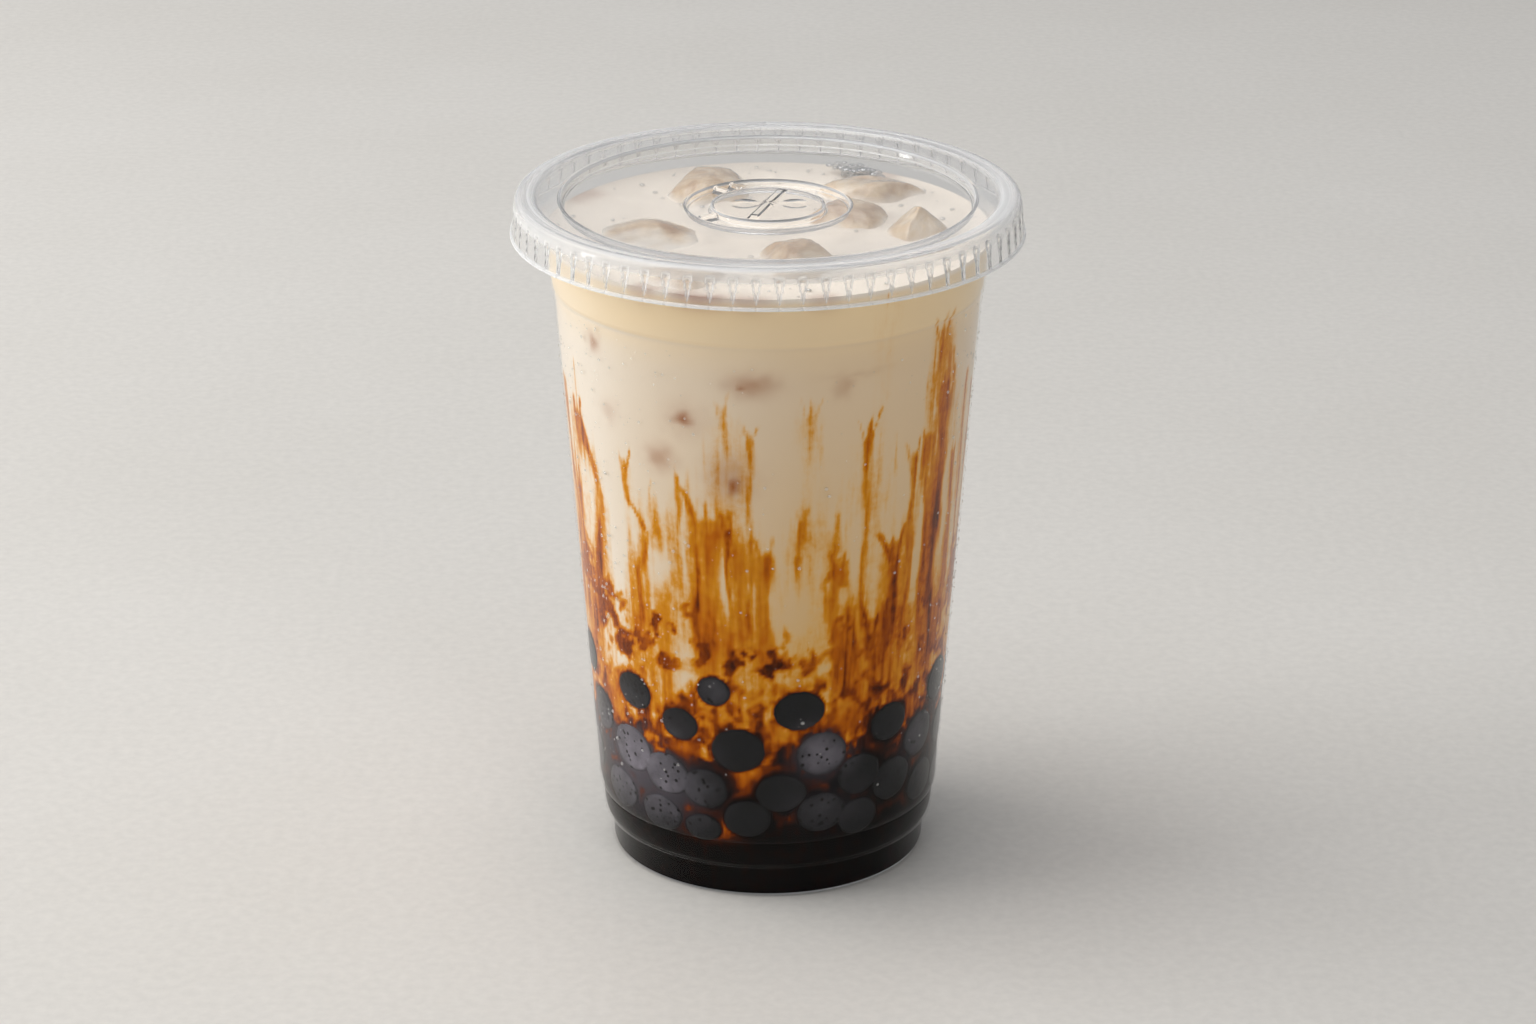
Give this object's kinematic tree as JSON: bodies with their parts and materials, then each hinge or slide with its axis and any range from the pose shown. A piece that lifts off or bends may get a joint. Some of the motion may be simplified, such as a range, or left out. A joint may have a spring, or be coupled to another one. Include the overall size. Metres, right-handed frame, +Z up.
{
  "type": "bubble tea",
  "caption": "Iced milk tea over tapioca pearls in a clear tapered cold cup with a flat fluted press-fit lid.",
  "frame": {"origin": "middle of the foot, on the surface that the cup stands on", "axes": "+Z up along the cup's axis, -Y towards the front"},
  "size_m": [0.1036, 0.1036, 0.141],
  "materials": {
    "clear_sheet": "clear thermoformed sheet, glossy",
    "milk_tea": "milk with dark sugar syrup streaks",
    "tapioca": "dark cooked tapioca in syrup, glossy",
    "ice": "wet melting ice coated with milk"
  },
  "bodies": {
    "root": {"cup": "clear_sheet", "lid": "clear_sheet", "milk_tea": "milk_tea", "pearl_bed": "tapioca", "pearl_1": "tapioca", "pearl_2": "tapioca", "pearl_3": "tapioca", "pearl_4": "tapioca", "pearl_5": "tapioca", "pearl_6": "tapioca", "pearl_7": "tapioca", "pearl_8": "tapioca", "ice_1": "ice", "ice_2": "ice", "ice_3": "ice", "ice_4": "ice", "ice_5": "ice", "ice_6": "ice", "ice_7": "ice", "ice_8": "ice"}
  },
  "joints": []
}
